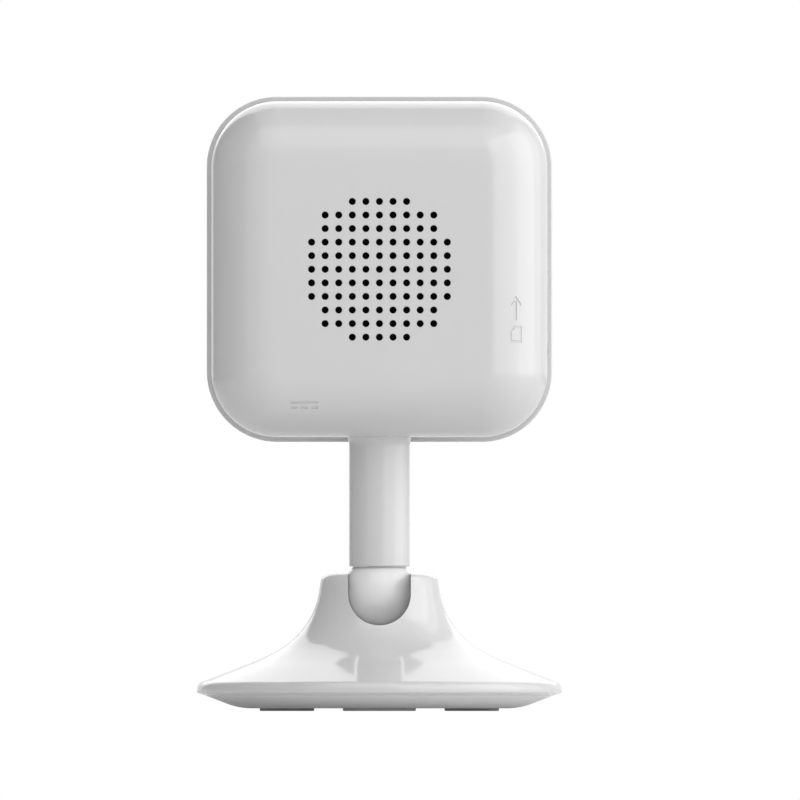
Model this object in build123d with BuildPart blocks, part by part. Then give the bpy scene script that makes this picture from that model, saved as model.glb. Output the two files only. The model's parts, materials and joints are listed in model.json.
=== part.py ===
from build123d import *
from math import cos, hypot, radians, sin, sqrt, tan
import os

# Compact indoor camera on a folding stem, in millimetres.
# Origin: on the table under the stem axis. +Z is up, the lens looks along -Y, the speaker grille faces +Y.

# Fits and clearances
running_gap = 0.05  # radial, for what turns or slides in a bore
seat_gap = 0.1  # pieces that drop into a pocket
fit_gap = 0.3  # plain air between neighbours
swing_gap = 0.15  # stem to the slot that it folds into

# Overall
total_height = 105.0

# Head shell
head_size = 59.0
head_corner = 12.0
head_front = 13.4  # stem axis to the front face
head_back = 16.0  # stem axis to the flat back
head_step = 0.8  # the bezel stands this far outside the rear cover
head_wall = 1.8
back_round = 10.4
bezel_depth = 5.4
bezel_face = 2.6
bezel_round = 2.0
bezel_lip_round = 0.5

# Snap tabs that hold the bezel
tab_length = 16.0
tab_thick = 1.2
tab_reach = 3.0  # past the seam
tab_count = 4
hook_height = 1.2
hook_depth = 0.5

# Speaker grille
grille_pitch = 2.32
grille_radius = 13.3
grille_hole = 1.2
grille_sides = 8

# Stem, knuckle and hinge
stem_diameter = 10.4
pivot_height = 20.0
seam_height = 24.6  # the swivel seam
ball_diameter = 12.9  # ball of the knuckle, about the hinge pin
spigot_diameter = 4.0
spigot_length = 8.7
hinge_pin_diameter = 3.0
hinge_pin_length = 15.8
stem_neck_diameter = 8.0  # the end that passes through the head's floor
stem_neck_length = 5.4
stem_neck_flat = 0.6
stem_bore = 6.0
stem_flare = 0.35  # small cone under the head
stem_nut_height = 2.4
stem_nut_across = 10.8
stem_nut_sides = 6
swivel_washer_thick = 0.5
swivel_spring_height = 0.8
swivel_spring_sheet = 0.35
swivel_screw_diameter = 2.0
swivel_head_diameter = 4.4
swivel_head_height = 1.5
swivel_screw_grip = 6.0  # length in the spigot

# Base
base_diameter = 62.4
base_top = 23.6
base_wall = 2.0
lip_height = 2.64  # lower edge of the dome, where the bottom cover starts
lip_width = 1.4
rim_bottom = 3.1
rim_top = 4.7
rim_round = 1.4
flange_rise = 21.1  # slope of the straight flange
flare_radius = 22.0  # where the flange starts to curve up
flare_arc = 39.0  # radius of the bell's slow lower curve, and the angle that it turns
flare_turn = 7.1
neck_arc = 14.15  # radius of the tighter curve that leads up to the neck
neck_turn = 53.3
neck_round = 1.8
neck_round_share = 0.9  # most that the rounding takes of the neck's straight wall
neck_bore = 16.4
cover_seat = 0.55  # depth of the bottom cover's edge in the dome
cover_edge = 1.3
cover_rise = 21.0  # slope of the dished underside
cover_round = 12.0
cover_wall = 1.5
pad_thick = 0.85
pad_proud = 0.45
pad_radius = 18.5  # middle of the arc
pad_width = 6.2
pad_span = 19.6
pad_count = 3
pad_turn = 90.0  # one pad and its screw lie at the back
magnet_diameter = 25.0
magnet_thick = 2.0
keeper_thick = 1.0

# Hinge yoke and friction brake
yoke_gap = 0.25  # trough to the folded stem
yoke_ear_width = 9.0
yoke_ear_thick = 1.9
brake_diameter = 6.0
brake_thick = 2.4
brake_spring_height = 1.6
brake_spring_sheet = 0.4
brake_spring_bore = 2.4

# Screws, all of one kind: a low round head and a plain shank
screw_diameter = 2.0
screw_head_diameter = 3.8
screw_head_height = 1.3
screw_sides = 8
screw_post = 4.6
base_screw_length = 5.6
yoke_screw_length = 3.6
board_screw_length = 5.0
front_screw_length = 2.6

# Front window and front board
window_border = 9.5  # from the head's edge
window_seat = 2.5
window_thick = 1.2
window_sunk = 0.3
front_post_gap = 0.8  # from the window opening to the board posts
front_board_edge = 0.2
front_board_thick = 0.8
front_board_corner = 2.0
baffle_wall = 1.7
led_radius = 13.0
led_size = 3.0
led_height = 1.0
led_dome = 2.4
led_taper = 30.0
led_count = 4
led_turn = 45.0  # the lights lie on the diagonals
sensor_chip = 2.0
sensor_chip_height = 0.8
mic_edge = 6.5  # from the head's edge
mic_hole = 1.0
mic_size = 3.6
mic_height = 1.0
mic_tab_width = 8.0

# Lens and day and night filter
lens_diameter = 9.0
lens_flange = 11.0
lens_flange_thick = 1.5
lens_length = 8.0
lens_bore = 6.0
lens_mouth = 8.2
lens_mouth_depth = 1.4
lens_glass = 0.7
lens_bulge = 0.8
holder_tube_wall = 1.5
holder_width = 22.0
holder_height = 15.0
holder_floor = 0.9
sensor_window = 10.0
sensor_size = 8.0
sensor_height = 1.2
filter_pane = 4.6
filter_shift = 6.0
slider_thick = 0.5
slider_height = 6.8
slider_border = 0.9
coil_length = 8.0
coil_height = 5.0
coil_depth = 4.0
coil_winding = 3.4

# Main board and what is on it
board_front = 1.0  # front face, behind the stem axis
board_thick = 1.2
board_gap = 0.6
board_notch_gap = 1.0
board_post_x = 19.0
board_post_up = 19.0
board_post_down = -14.0
chip_width = 12.0
chip_height = 10.0
chip_thick = 1.2
thermal_pad_thick = 0.5
spreader_width = 26.0
spreader_height = 12.0
spreader_thick = 1.0
spreader_up = 16.0
shield_width = 12.0
shield_height = 15.0
shield_thick = 2.0
shield_up = 6.0
header_width = 12.0
header_thick = 2.5
header_up = 15.5

# Power port, card slot and reset button
usb_inset = 15.8  # from the side of the rear cover
usb_width = 7.5
usb_height = 2.6
usb_depth = 5.5
usb_shell = 0.35
usb_corner = 0.8
usb_sunk = 0.5
usb_tongue = 3.4
usb_tongue_thick = 0.7
card_drop = 7.5  # below the lens axis
card_width = 12.0
card_slot = 1.4
card_socket_gap = 1.3  # to the lens holder
card_socket_width = 14.5
card_socket_thick = 1.6
card_rim_length = 14.5  # raised rim round the slot
card_rim_width = 5.0
card_rim_proud = 0.2
reset_inset = 16.2
reset_diameter = 3.0
reset_flange = 4.0
reset_flange_thick = 0.6
reset_stalk = 0.5
reset_sunk = 0.1
reset_travel = 0.4
switch_width = 6.0
switch_depth = 3.2
switch_height = 3.0
switch_nib = 1.0
switch_nib_width = 2.0

# Speaker
speaker_diameter = 31.0
speaker_rim = 1.5
speaker_rim_thick = 1.0
speaker_depth = 4.0
speaker_wall = 0.8
speaker_neck = 9.0
speaker_magnet_diameter = 15.0
speaker_magnet_thick = 4.0
speaker_gasket_thick = 0.5
speaker_cone_thick = 0.4
speaker_rib = 1.6
speaker_rib_width = 6.0
speaker_rib_count = 4

# Derived places: heights along Z, depths along Y
head_center = total_height - head_size / 2
front_y = -head_front
seam_y = front_y + bezel_depth
bezel_inside_y = front_y + bezel_face
rear_size = head_size - 2 * head_step
rear_corner = head_corner - head_step
inner_size = rear_size - 2 * head_wall
inner_corner = rear_corner - head_wall
inner_back_y = head_back - head_wall
back_edge_round = min(back_round, rear_corner - running_gap)
inner_bevel = (2 - sqrt(2)) * (back_edge_round - head_wall)
inner_flat = inner_size - 2 * inner_bevel
head_bottom = head_center - rear_size / 2
head_floor = head_bottom + head_wall
board_back = board_front + board_thick
board_size = inner_size - 2 * board_gap
shield_x = (holder_width + board_size) / 4  # midway between the lens holder and the board's edge
card_socket_length = (board_size - holder_width) / 2 - card_socket_gap
window_diameter = head_size - 2 * window_border
window_opening = window_diameter - 2 * window_seat
mic_drop = head_size / 2 - mic_edge
front_board_screw = window_opening / sqrt(8) + screw_post / 2 + front_post_gap
front_board_size = 2 * front_board_screw + screw_post + 2 * front_board_edge
front_board_back = seam_y + front_board_thick
board_spacing = board_front - front_board_back
window_back_y = front_y + window_sunk + window_thick
stem_radius = stem_diameter / 2
stem_bottom = seam_height + seat_gap
stem_top = head_bottom + stem_neck_length
spigot_top = seam_height + spigot_length
stem_shoulder = spigot_top + swing_gap
washer_bottom = stem_shoulder + seat_gap
washer_top = washer_bottom + swivel_washer_thick
spring_top = washer_top + swivel_spring_height
slot_radius = stem_radius + swing_gap
ball_radius = ball_diameter / 2
socket_radius = ball_radius + swing_gap
collar_radius = sqrt(ball_radius**2 - (seam_height - pivot_height) ** 2)  # where the seam cuts the ball
base_radius = base_diameter / 2
lip_radius = base_radius - lip_width
cover_bottom = pad_proud
cover_floor = cover_bottom + cover_wall
pad_floor = pad_thick
magnet_top = cover_floor + magnet_thick
keeper_top = magnet_top + keeper_thick
yoke_bottom = keeper_top + fit_gap
yoke_post_bottom = yoke_bottom + yoke_ear_thick
yoke_top = base_top - base_wall - fit_gap
yoke_screw_x = magnet_diameter / 2 + fit_gap + screw_head_diameter / 2
yoke_span = 2 * yoke_screw_x + screw_post
yoke_radius = neck_bore / 2 - seat_gap
trough_radius = stem_radius + yoke_gap
brake_top = pivot_height - ball_radius - running_gap
brake_bottom = brake_top - brake_thick
brake_seat = brake_bottom - brake_spring_height
base_post_bottom = cover_floor + screw_head_height + fit_gap
head_seat = base_post_bottom - base_wall / 2
usb_x = rear_size / 2 - usb_inset
usb_y = board_back + usb_height / 2
usb_mouth = head_bottom + usb_sunk
reset_x = reset_inset - rear_size / 2
reset_y = board_back + seat_gap + reset_flange / 2
switch_y = board_back + switch_depth / 2
card_y = board_front - card_socket_thick / 2
card_level = head_center - card_drop
lens_front = window_back_y + fit_gap
lens_back = lens_front + lens_length
holder_top_y = lens_back + seat_gap
slider_front = holder_top_y + holder_floor
slider_back = slider_front + slider_thick + 2 * running_gap
holder_tube = lens_diameter / 2 + holder_tube_wall
board_posts = [
    (board_post_x, board_post_up),
    (-board_post_x, board_post_up),
    (board_post_x, board_post_down),
]
front_posts = [(front_board_screw, front_board_screw), (-front_board_screw, -front_board_screw)]
lens_axis = Axis((0, 0, head_center), (0, 1, 0))


def level(height):
    """Level plane at a height above the table."""
    return Plane.XY.offset(height)


def facing_front(y):
    """Upright plane square to the lens axis, centred on the head, that faces the front."""
    return Plane(origin=(0, y, head_center), x_dir=(1, 0, 0), z_dir=(0, -1, 0))


def lens_plane(angle):
    """Plane through the lens axis: x is the distance from the axis at that angle, y is the depth."""
    turn = radians(angle)
    return Plane((0, 0, head_center), x_dir=(cos(turn), 0, sin(turn)), z_dir=(-sin(turn), 0, cos(turn)))


def stem_end(radius):
    """Round with a flat that stops the stem from turning in the head, for use inside a sketch."""
    Circle(radius)
    with Locations((0, radius - stem_neck_flat)):
        Rectangle(2 * radius, radius, align=(Align.CENTER, Align.MIN), mode=Mode.SUBTRACT)


pieces = {}

# Hollow of the rear cover, less the posts and ribs that stand in it
with BuildPart() as head_hollow:
    with BuildSketch(facing_front(seam_y)):
        RectangleRounded(inner_size, inner_size, inner_corner)
    extrude(amount=seam_y - (inner_back_y - inner_bevel))
    with BuildSketch(facing_front(inner_back_y - inner_bevel)):
        RectangleRounded(inner_size, inner_size, inner_corner)
    with BuildSketch(facing_front(inner_back_y)):
        RectangleRounded(inner_flat, inner_flat, inner_corner - inner_bevel)
    loft(ruled=True)
    with BuildSketch(facing_front(board_back)):
        with Locations(*board_posts):
            Rectangle(screw_post, screw_post)
    extrude(amount=board_back - inner_back_y, mode=Mode.SUBTRACT)
    with BuildSketch(facing_front(inner_back_y)):
        with PolarLocations(speaker_diameter / 2 + seat_gap + speaker_rib / 2, speaker_rib_count):
            Rectangle(speaker_rib, speaker_rib_width)
    extrude(amount=speaker_depth, mode=Mode.SUBTRACT)

# Moulded rear cover
with BuildPart() as rear_cover:
    with BuildSketch(facing_front(seam_y)):
        RectangleRounded(rear_size, rear_size, rear_corner)
    extrude(amount=seam_y - head_back)
    fillet(rear_cover.faces().sort_by(Axis.Y)[-1].edges(), back_edge_round)
    add(head_hollow.part, mode=Mode.SUBTRACT)
    # pilot holes of the board posts
    with BuildSketch(facing_front(board_back)):
        with Locations(*board_posts):
            Circle(screw_diameter / 2)
    extrude(amount=-board_screw_length, mode=Mode.SUBTRACT)
    # floor: stem hole, power port, reset hole
    with BuildSketch(level(head_bottom)):
        stem_end(stem_neck_diameter / 2 + running_gap)
        with Locations((usb_x, usb_y)):
            RectangleRounded(usb_width + 2 * fit_gap, usb_height + 2 * fit_gap, usb_corner + fit_gap)
        with Locations((reset_x, reset_y)):
            Circle(reset_diameter / 2 + running_gap)
    extrude(amount=head_wall, mode=Mode.SUBTRACT)
    # card slot in a slightly raised rim
    rim_face = Plane((-rear_size / 2 - card_rim_proud, card_y, card_level), x_dir=(0, 0, 1), z_dir=(1, 0, 0))
    with BuildSketch(rim_face):
        SlotOverall(card_rim_length, card_rim_width)
    extrude(amount=card_rim_proud)
    with BuildSketch(rim_face):
        Rectangle(card_width, card_slot)
    extrude(amount=card_rim_proud + head_wall, mode=Mode.SUBTRACT)
    # pockets for the bezel's snap hooks
    for turn in range(0, 360, 360 // tab_count):
        with BuildSketch(lens_plane(turn)):
            with Locations((inner_size / 2, seam_y + tab_reach)):
                Rectangle(2 * hook_depth, hook_height + 2 * fit_gap, align=(Align.CENTER, Align.MAX))
        extrude(amount=tab_length / 2 + fit_gap, both=True, mode=Mode.SUBTRACT)
    # speaker grille: the holes of a square grid that lie in a circle
    grille_count = 2 * int(grille_radius / grille_pitch) + 1
    grille_grid = GridLocations(grille_pitch, grille_pitch, grille_count, grille_count).local_locations
    grille_spots = [spot for spot in grille_grid if spot.position.length < grille_radius]
    with BuildSketch(facing_front(inner_back_y)):
        with Locations(*grille_spots):
            RegularPolygon(grille_hole / 2, grille_sides)
    extrude(amount=-head_wall, mode=Mode.SUBTRACT)
pieces["rear_cover"] = rear_cover

# Front bezel with its window seat, board posts and snap tabs
bezel_inner = head_size - 2 * head_wall
tab_out = inner_size / 2 - seat_gap
tab_end = seam_y + tab_reach - fit_gap
with BuildPart() as front_bezel:
    with BuildSketch(facing_front(seam_y)):
        RectangleRounded(head_size, head_size, head_corner)
    extrude(amount=bezel_depth)
    fillet(front_bezel.faces().sort_by(Axis.Y)[0].edges(), bezel_round)
    fillet(front_bezel.faces().sort_by(Axis.Y)[-1].edges(), bezel_lip_round)
    with BuildSketch(facing_front(seam_y)):
        RectangleRounded(bezel_inner, bezel_inner, head_corner - head_wall)
    extrude(amount=bezel_depth - bezel_face, mode=Mode.SUBTRACT)
    with BuildSketch(facing_front(front_y)):
        Circle(window_diameter / 2 + seat_gap)
    extrude(amount=-(window_sunk + window_thick), mode=Mode.SUBTRACT)
    with BuildSketch(facing_front(front_y)):
        Circle(window_opening / 2)
        with Locations((0, -mic_drop)):
            Circle(mic_hole / 2)
    extrude(amount=-bezel_face, mode=Mode.SUBTRACT)
    with BuildSketch(facing_front(bezel_inside_y)):
        with Locations(*front_posts):
            Rectangle(screw_post, screw_post)
    extrude(amount=bezel_inside_y - seam_y)
    with BuildSketch(facing_front(seam_y)):
        with Locations(*front_posts):
            Circle(screw_diameter / 2)
    extrude(amount=front_screw_length - front_board_thick, mode=Mode.SUBTRACT)
    for turn in range(0, 360, 360 // tab_count):
        with BuildSketch(lens_plane(turn)):
            Polygon(
                (tab_out - tab_thick, bezel_inside_y),
                (tab_out, bezel_inside_y),
                (tab_out, tab_end - hook_height),
                (tab_out + hook_depth, tab_end - hook_height),
                (tab_out, tab_end),
                (tab_out - tab_thick, tab_end),
                align=None,
            )
        extrude(amount=tab_length / 2, both=True)
pieces["front_bezel"] = front_bezel

# Dark front window
with BuildPart() as front_window:
    with BuildSketch(facing_front(window_back_y)):
        Circle(window_diameter / 2)
    extrude(amount=window_thick)
pieces["front_window"] = front_window

# Front board with the night lights, behind the window
mic_board_end = mic_drop + mic_size / 2 + fit_gap
with BuildPart() as front_board:
    with BuildSketch(facing_front(front_board_back)):
        RectangleRounded(front_board_size, front_board_size, front_board_corner)
        with Locations((0, -mic_board_end)):
            Rectangle(mic_tab_width, mic_board_end, align=(Align.CENTER, Align.MIN))
        Circle(holder_tube + fit_gap, mode=Mode.SUBTRACT)
        with Locations(*front_posts):
            Circle(screw_diameter / 2 + seat_gap, mode=Mode.SUBTRACT)
    extrude(amount=front_board_thick)
pieces["front_board"] = front_board

with BuildPart() as ir_leds:
    with BuildSketch(facing_front(seam_y)):
        with PolarLocations(led_radius, led_count, led_turn):
            Rectangle(led_size, led_size)
    extrude(amount=led_height)
    with BuildSketch(facing_front(seam_y - led_height)):
        with PolarLocations(led_radius, led_count, led_turn):
            Circle(led_dome / 2)
    extrude(amount=led_height, taper=led_taper)
pieces["ir_leds"] = ir_leds

# Black sleeve that keeps the night lights out of the lens
baffle_bore = lens_flange / 2 + fit_gap
with BuildPart() as light_baffle:
    with BuildSketch(facing_front(seam_y)):
        Rectangle(2 * (baffle_bore + baffle_wall), 2 * (baffle_bore + baffle_wall))
        Circle(baffle_bore, mode=Mode.SUBTRACT)
    extrude(amount=seam_y - window_back_y - seat_gap)
pieces["light_baffle"] = light_baffle

# Microphone gasket, a rubber block with a sound hole, between the bezel and the microphone
with BuildPart() as microphone_gasket:
    with BuildSketch(facing_front(seam_y - mic_height)):
        with Locations((0, -mic_drop)):
            Rectangle(mic_size, mic_size)
            Circle(mic_hole / 2, mode=Mode.SUBTRACT)
    extrude(amount=seam_y - mic_height - bezel_inside_y)
pieces["microphone_gasket"] = microphone_gasket

# Lens: barrel, two glasses and the holder that it screws into
with BuildPart() as lens_barrel:
    with BuildSketch(lens_plane(0)):
        Polygon(
            (lens_bore / 2, lens_back),
            (lens_diameter / 2, lens_back),
            (lens_diameter / 2, lens_front + lens_flange_thick),
            (lens_flange / 2, lens_front + lens_flange_thick),
            (lens_flange / 2, lens_front),
            (lens_mouth / 2, lens_front),
            (lens_bore / 2, lens_front + lens_mouth_depth),
            align=None,
        )
    revolve(axis=lens_axis)
pieces["lens_barrel"] = lens_barrel

glass_radius = lens_bore / 2 - running_gap
glass_rim = lens_front + lens_mouth_depth + lens_bulge
with BuildPart() as lens_front_element:
    with BuildSketch(lens_plane(0)):
        with BuildLine():
            Polyline(
                (0, glass_rim - lens_bulge),
                (0, glass_rim + lens_glass),
                (glass_radius, glass_rim + lens_glass),
                (glass_radius, glass_rim),
            )
            bulge_radius = (glass_radius**2 + lens_bulge**2) / (2 * lens_bulge)
            RadiusArc((glass_radius, glass_rim), (0, glass_rim - lens_bulge), bulge_radius)
        make_face()
    revolve(axis=lens_axis)
pieces["lens_front_element"] = lens_front_element

with BuildPart() as lens_rear_element:
    with BuildSketch(facing_front(lens_back)):
        Circle(glass_radius)
    extrude(amount=lens_glass)
pieces["lens_rear_element"] = lens_rear_element

slider_room = 2 * filter_shift + filter_pane + 2 * slider_border + 2 * seat_gap
with BuildPart() as lens_holder:
    with BuildSketch(facing_front(slider_back)):
        Rectangle(holder_width, holder_height)
    extrude(amount=slider_back - holder_top_y)
    with BuildSketch(facing_front(holder_top_y)):
        Circle(holder_tube)
    extrude(amount=holder_top_y - front_board_back + front_board_thick / 2)
    with BuildSketch(facing_front(holder_top_y)):
        Circle(lens_diameter / 2 + running_gap)
    extrude(amount=lens_length, mode=Mode.SUBTRACT)
    with BuildSketch(facing_front(holder_top_y)):
        Circle(lens_bore / 2)
    extrude(amount=-holder_floor, mode=Mode.SUBTRACT)
    with BuildSketch(facing_front(slider_back)):
        Rectangle(slider_room, slider_height + 2 * seat_gap)
    extrude(amount=slider_back - slider_front, mode=Mode.SUBTRACT)
pieces["lens_holder"] = lens_holder

with BuildPart() as sensor_frame:
    with BuildSketch(facing_front(board_front)):
        Rectangle(holder_width, holder_height)
        Rectangle(sensor_window, sensor_window, mode=Mode.SUBTRACT)
    extrude(amount=board_front - slider_back)
pieces["sensor_frame"] = sensor_frame

with BuildPart() as image_sensor:
    with BuildSketch(facing_front(board_front)):
        Rectangle(sensor_size, sensor_size)
    extrude(amount=sensor_height)
pieces["image_sensor"] = image_sensor

# Day and night filter: a slider with two panes, and the coil that shifts it
pane_spots = [(0, 0), (filter_shift, 0)]
with BuildPart() as ir_cut_slider:
    with BuildSketch(facing_front(slider_front + running_gap + slider_thick)):
        with Locations((filter_shift / 2, 0)):
            Rectangle(filter_shift + filter_pane + 2 * slider_border, slider_height)
        with Locations(*pane_spots):
            Rectangle(filter_pane, filter_pane, mode=Mode.SUBTRACT)
    extrude(amount=slider_thick)
pieces["ir_cut_slider"] = ir_cut_slider

with BuildPart() as ir_cut_filters:
    with BuildSketch(facing_front(slider_front + running_gap + slider_thick)):
        with Locations(*pane_spots):
            Rectangle(filter_pane, filter_pane)
    extrude(amount=slider_thick)
pieces["ir_cut_filters"] = ir_cut_filters

coil_up = -(holder_height + coil_height) / 2 - fit_gap
with BuildPart() as ir_cut_coil:
    with BuildSketch(facing_front(board_front)):
        with Locations((0, coil_up)):
            Rectangle(coil_length, coil_height)
            with GridLocations(coil_length / 2, coil_height, 1, 2):
                Rectangle(coil_length / 2, coil_height - coil_winding, mode=Mode.SUBTRACT)
    extrude(amount=coil_depth)
pieces["ir_cut_coil"] = ir_cut_coil

# Main board, notched round the stem
with BuildPart() as main_board:
    with BuildSketch(facing_front(board_back)):
        RectangleRounded(board_size, board_size, inner_corner - board_gap)
        with Locations((0, -board_size / 2)):
            notch_rise = stem_top + board_notch_gap - (head_center - board_size / 2)
            notch_width = stem_nut_across + 2 * board_notch_gap
            Rectangle(notch_width, 2 * notch_rise, mode=Mode.SUBTRACT)
        with Locations(*board_posts):
            Circle(screw_diameter / 2 + seat_gap, mode=Mode.SUBTRACT)
    extrude(amount=board_thick)
pieces["main_board"] = main_board

# Plain packages: name, face that carries it, centre, size, height towards the front
packages = [
    ("light_sensor", seam_y, (0, led_radius), (sensor_chip, sensor_chip), sensor_chip_height),
    ("status_led", seam_y, (0, -led_radius), (sensor_chip, sensor_chip), sensor_chip_height),
    ("processor", board_back, (0, spreader_up), (chip_width, chip_height), -chip_thick),
    (
        "thermal_pad",
        board_back + chip_thick,
        (0, spreader_up),
        (chip_width, chip_height),
        -thermal_pad_thick,
    ),
    ("wifi_shield", board_front, (shield_x, shield_up), (shield_width, shield_height), shield_thick),
    ("link_header", board_front, (0, header_up), (header_width, header_thick), board_spacing),
    ("microphone", seam_y, (0, -mic_drop), (mic_size, mic_size), mic_height),
]
for name, face_y, center, size, height in packages:
    with BuildPart() as package:
        with BuildSketch(facing_front(face_y)):
            with Locations(center):
                Rectangle(*size)
        extrude(amount=height)
    pieces[name] = package

# Heat spreader with turned-down side lips
spreader_y = board_back + chip_thick + thermal_pad_thick
with BuildPart() as heat_spreader:
    with BuildSketch(facing_front(spreader_y)):
        with Locations((0, spreader_up)):
            Rectangle(spreader_width, spreader_height)
    extrude(amount=-spreader_thick)
    with BuildSketch(facing_front(spreader_y)):
        with Locations((0, spreader_up)):
            with GridLocations(spreader_width - spreader_thick, spreader_height, 2, 1):
                Rectangle(spreader_thick, spreader_height)
    extrude(amount=spreader_y - board_back - seat_gap)
pieces["heat_spreader"] = heat_spreader

# Power socket: pressed shell with a contact tongue, mouth down
with BuildPart() as usb_socket:
    with BuildSketch(level(usb_mouth)):
        with Locations((usb_x, usb_y)):
            RectangleRounded(usb_width, usb_height, usb_corner)
    extrude(amount=usb_depth)
    with BuildSketch(level(usb_mouth)):
        with Locations((usb_x, usb_y)):
            RectangleRounded(usb_width - 2 * usb_shell, usb_height - 2 * usb_shell, usb_corner - usb_shell)
            Rectangle(usb_tongue, usb_tongue_thick, mode=Mode.SUBTRACT)
    extrude(amount=usb_depth - 2 * usb_shell, mode=Mode.SUBTRACT)
pieces["usb_socket"] = usb_socket

# Card socket with its mouth at the board's edge
with BuildPart() as card_socket:
    with BuildSketch(facing_front(board_front)):
        with Locations((-board_size / 2, -card_drop)):
            Rectangle(card_socket_length, card_socket_width, align=(Align.MIN, Align.CENTER))
    extrude(amount=card_socket_thick)
    with BuildSketch(Plane((-board_size / 2, card_y, card_level), x_dir=(0, 0, 1), z_dir=(1, 0, 0))):
        Rectangle(card_width, card_slot - 2 * fit_gap)
    extrude(amount=card_socket_length - head_wall, mode=Mode.SUBTRACT)
pieces["card_socket"] = card_socket

# Reset switch and the sprung button under it
button_top = head_floor + seat_gap + reset_flange_thick + reset_stalk
switch_bottom = button_top + reset_travel + seat_gap + switch_nib
with BuildPart() as reset_switch:
    with BuildSketch(level(switch_bottom)):
        with Locations((reset_x, switch_y)):
            Rectangle(switch_width, switch_depth)
    extrude(amount=switch_height)
    with BuildSketch(level(switch_bottom)):
        with Locations((reset_x, reset_y)):
            Rectangle(switch_nib_width, switch_nib_width)
    extrude(amount=-switch_nib)
pieces["reset_switch"] = reset_switch

with BuildPart() as reset_button:
    with BuildSketch(level(head_bottom + reset_sunk)):
        with Locations((reset_x, reset_y)):
            Circle(reset_diameter / 2)
    extrude(amount=button_top - head_bottom - reset_sunk)
    with BuildSketch(level(head_floor + seat_gap)):
        with Locations((reset_x, reset_y)):
            Circle(reset_flange / 2)
    extrude(amount=reset_flange_thick)
pieces["reset_button"] = reset_button

# Speaker behind the grille
speaker_front = inner_back_y - speaker_gasket_thick  # its sounding side
speaker_inner = speaker_diameter / 2 - speaker_rim
speaker_back = speaker_front - speaker_depth
with BuildPart() as speaker_gasket:
    with BuildSketch(facing_front(inner_back_y)):
        Circle(speaker_diameter / 2)
        Circle(speaker_inner, mode=Mode.SUBTRACT)
    extrude(amount=speaker_gasket_thick)
pieces["speaker_gasket"] = speaker_gasket

with BuildPart() as speaker_frame:
    with BuildSketch(lens_plane(0)):
        Polygon(
            (speaker_inner, speaker_front),
            (speaker_diameter / 2, speaker_front),
            (speaker_diameter / 2, speaker_front - speaker_rim_thick),
            (speaker_neck, speaker_back),
            (0, speaker_back),
            (0, speaker_back + speaker_wall),
            (speaker_neck - speaker_wall, speaker_back + speaker_wall),
            align=None,
        )
    revolve(axis=lens_axis)
pieces["speaker_frame"] = speaker_frame

with BuildPart() as speaker_magnet:
    with BuildSketch(facing_front(speaker_back)):
        Circle(speaker_magnet_diameter / 2)
    extrude(amount=speaker_magnet_thick)
pieces["speaker_magnet"] = speaker_magnet

cone_low = speaker_back + speaker_wall + speaker_cone_thick + seat_gap
cone_radius = speaker_inner - speaker_wall - fit_gap
with BuildPart() as speaker_cone:
    with BuildSketch(lens_plane(0)):
        Polygon(
            (0, cone_low),
            (speaker_neck / 2, cone_low),
            (cone_radius, speaker_front - speaker_cone_thick),
            (cone_radius, speaker_front),
            (speaker_neck / 2, cone_low + speaker_cone_thick),
            (0, cone_low + speaker_cone_thick),
            align=None,
        )
    revolve(axis=lens_axis)
pieces["speaker_cone"] = speaker_cone

# Hollow stem: the swivel screw goes in from the top
with BuildPart() as stem:
    with BuildSketch(level(stem_bottom)):
        Circle(stem_radius)
    extrude(amount=head_bottom - stem_flare - stem_bottom)
    with BuildSketch(level(head_bottom - stem_flare)):
        Circle(stem_radius)
    with BuildSketch(level(head_bottom)):
        Circle(stem_radius + stem_flare)
    loft()
    with BuildSketch(level(head_bottom)):
        stem_end(stem_neck_diameter / 2)
    extrude(amount=stem_neck_length)
    with BuildSketch(level(stem_bottom)):
        Circle(spigot_diameter / 2 + running_gap)
    extrude(amount=stem_shoulder - stem_bottom, mode=Mode.SUBTRACT)
    with BuildSketch(level(stem_shoulder)):
        Circle(stem_bore / 2)
    extrude(amount=stem_top - stem_shoulder, mode=Mode.SUBTRACT)
pieces["stem"] = stem

with BuildPart() as stem_nut:
    with BuildSketch(level(head_floor)):
        RegularPolygon(stem_nut_across / 2, stem_nut_sides)
        Circle(stem_neck_diameter / 2, mode=Mode.SUBTRACT)
    extrude(amount=stem_nut_height)
pieces["stem_nut"] = stem_nut

# Knuckle: a ball on the hinge pin, cut flat at the seam, and the spigot that the stem turns on
with BuildPart() as tilt_knuckle:
    with BuildSketch(Plane.XZ):
        with BuildLine():
            Polyline(
                (collar_radius, seam_height),
                (spigot_diameter / 2, seam_height),
                (spigot_diameter / 2, spigot_top),
                (0, spigot_top),
                (0, pivot_height - ball_radius),
            )
            RadiusArc((0, pivot_height - ball_radius), (collar_radius, seam_height), -ball_radius)
        make_face()
    revolve(axis=Axis.Z)
    with BuildSketch(Plane.YZ):
        with Locations((0, pivot_height)):
            Circle(hinge_pin_diameter / 2 + running_gap)
    extrude(amount=ball_radius, both=True, mode=Mode.SUBTRACT)
    with BuildSketch(level(spigot_top)):
        Circle(swivel_screw_diameter / 2)
    extrude(amount=-swivel_screw_grip, mode=Mode.SUBTRACT)
pieces["tilt_knuckle"] = tilt_knuckle

# Swivel stack on the spigot: washer, disc spring, screw
swivel_ring = stem_bore / 2 - swing_gap
with BuildPart() as swivel_washer:
    with BuildSketch(level(washer_bottom)):
        Circle(swivel_ring)
        Circle(swivel_screw_diameter / 2 + seat_gap, mode=Mode.SUBTRACT)
    extrude(amount=swivel_washer_thick)
pieces["swivel_washer"] = swivel_washer

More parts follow.
